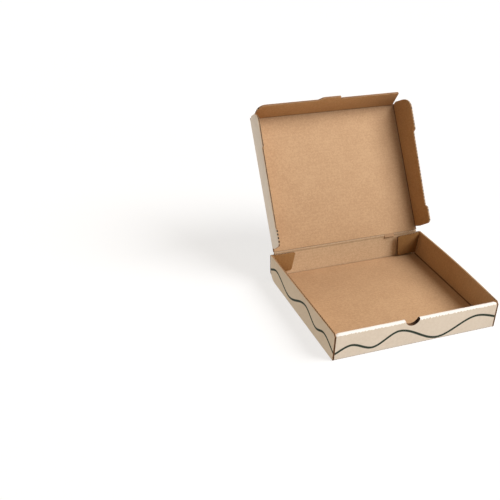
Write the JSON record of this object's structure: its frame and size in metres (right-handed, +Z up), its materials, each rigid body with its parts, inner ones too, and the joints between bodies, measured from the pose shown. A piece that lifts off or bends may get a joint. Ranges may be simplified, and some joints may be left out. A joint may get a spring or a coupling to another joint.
{
  "type": "pizza box",
  "caption": "Empty corrugated takeaway pizza box standing open: a low tray with a rolled front wall and thumb notch, and a hinged lid with fold-down flaps",
  "frame": {"origin": "middle of the tray's underside, on the surface it stands on", "axes": "+Z up, -Y is the front wall with the thumb notch, +Y the hinge side, +X the right-hand side seen from the front; the lid stands open 124.5 degrees from shut"},
  "size_m": [0.311, 0.3938, 0.2888],
  "materials": {
    "tray_board": "matte kraft liner inside, cream printed liner outside",
    "lid_panel_board": "matte kraft liner inside, cream printed liner outside",
    "lid_front_flap_board": "matte kraft liner inside, cream printed liner outside",
    "lid_left_flap_board": "matte kraft liner inside, cream printed liner outside",
    "lid_right_flap_board": "matte kraft liner inside, cream printed liner outside"
  },
  "bodies": {
    "tray": {"tray": "tray_board"},
    "lid": {"lid_panel": "lid_panel_board"},
    "front_flap": {"lid_front_flap": "lid_front_flap_board"},
    "left_flap": {"lid_left_flap": "lid_left_flap_board"},
    "right_flap": {"lid_right_flap": "lid_right_flap_board"}
  },
  "joints": [
    {"name": "lid_hinge", "type": "hinge", "parent": "tray", "child": "lid", "pos_m": [0, 0.1265, 0.0498], "axis": [-1, 0, 0], "range_deg": [-124.5, 55.5]},
    {"name": "front_flap_fold", "type": "hinge", "parent": "lid", "child": "front_flap", "pos_m": [0, 0.26425, 0.25023], "axis": [-1, 0, 0], "range_deg": [-25.55, 11.42]},
    {"name": "left_flap_fold", "type": "hinge", "parent": "lid", "child": "left_flap", "pos_m": [-0.1449, 0.1265, 0.0498], "axis": [0, -0.5664, -0.8241], "range_deg": [-5.55, 2.5]},
    {"name": "right_flap_fold", "type": "hinge", "parent": "lid", "child": "right_flap", "pos_m": [0.1449, 0.1265, 0.0498], "axis": [0, 0.5664, 0.8241], "range_deg": [-20.55, 9.19]}
  ],
  "couplings": [
    {"joint": "front_flap_fold", "follows": "lid_hinge", "ratio": 0.20482},
    {"joint": "left_flap_fold", "follows": "lid_hinge", "ratio": 0.04418},
    {"joint": "right_flap_fold", "follows": "lid_hinge", "ratio": 0.16466}
  ]
}
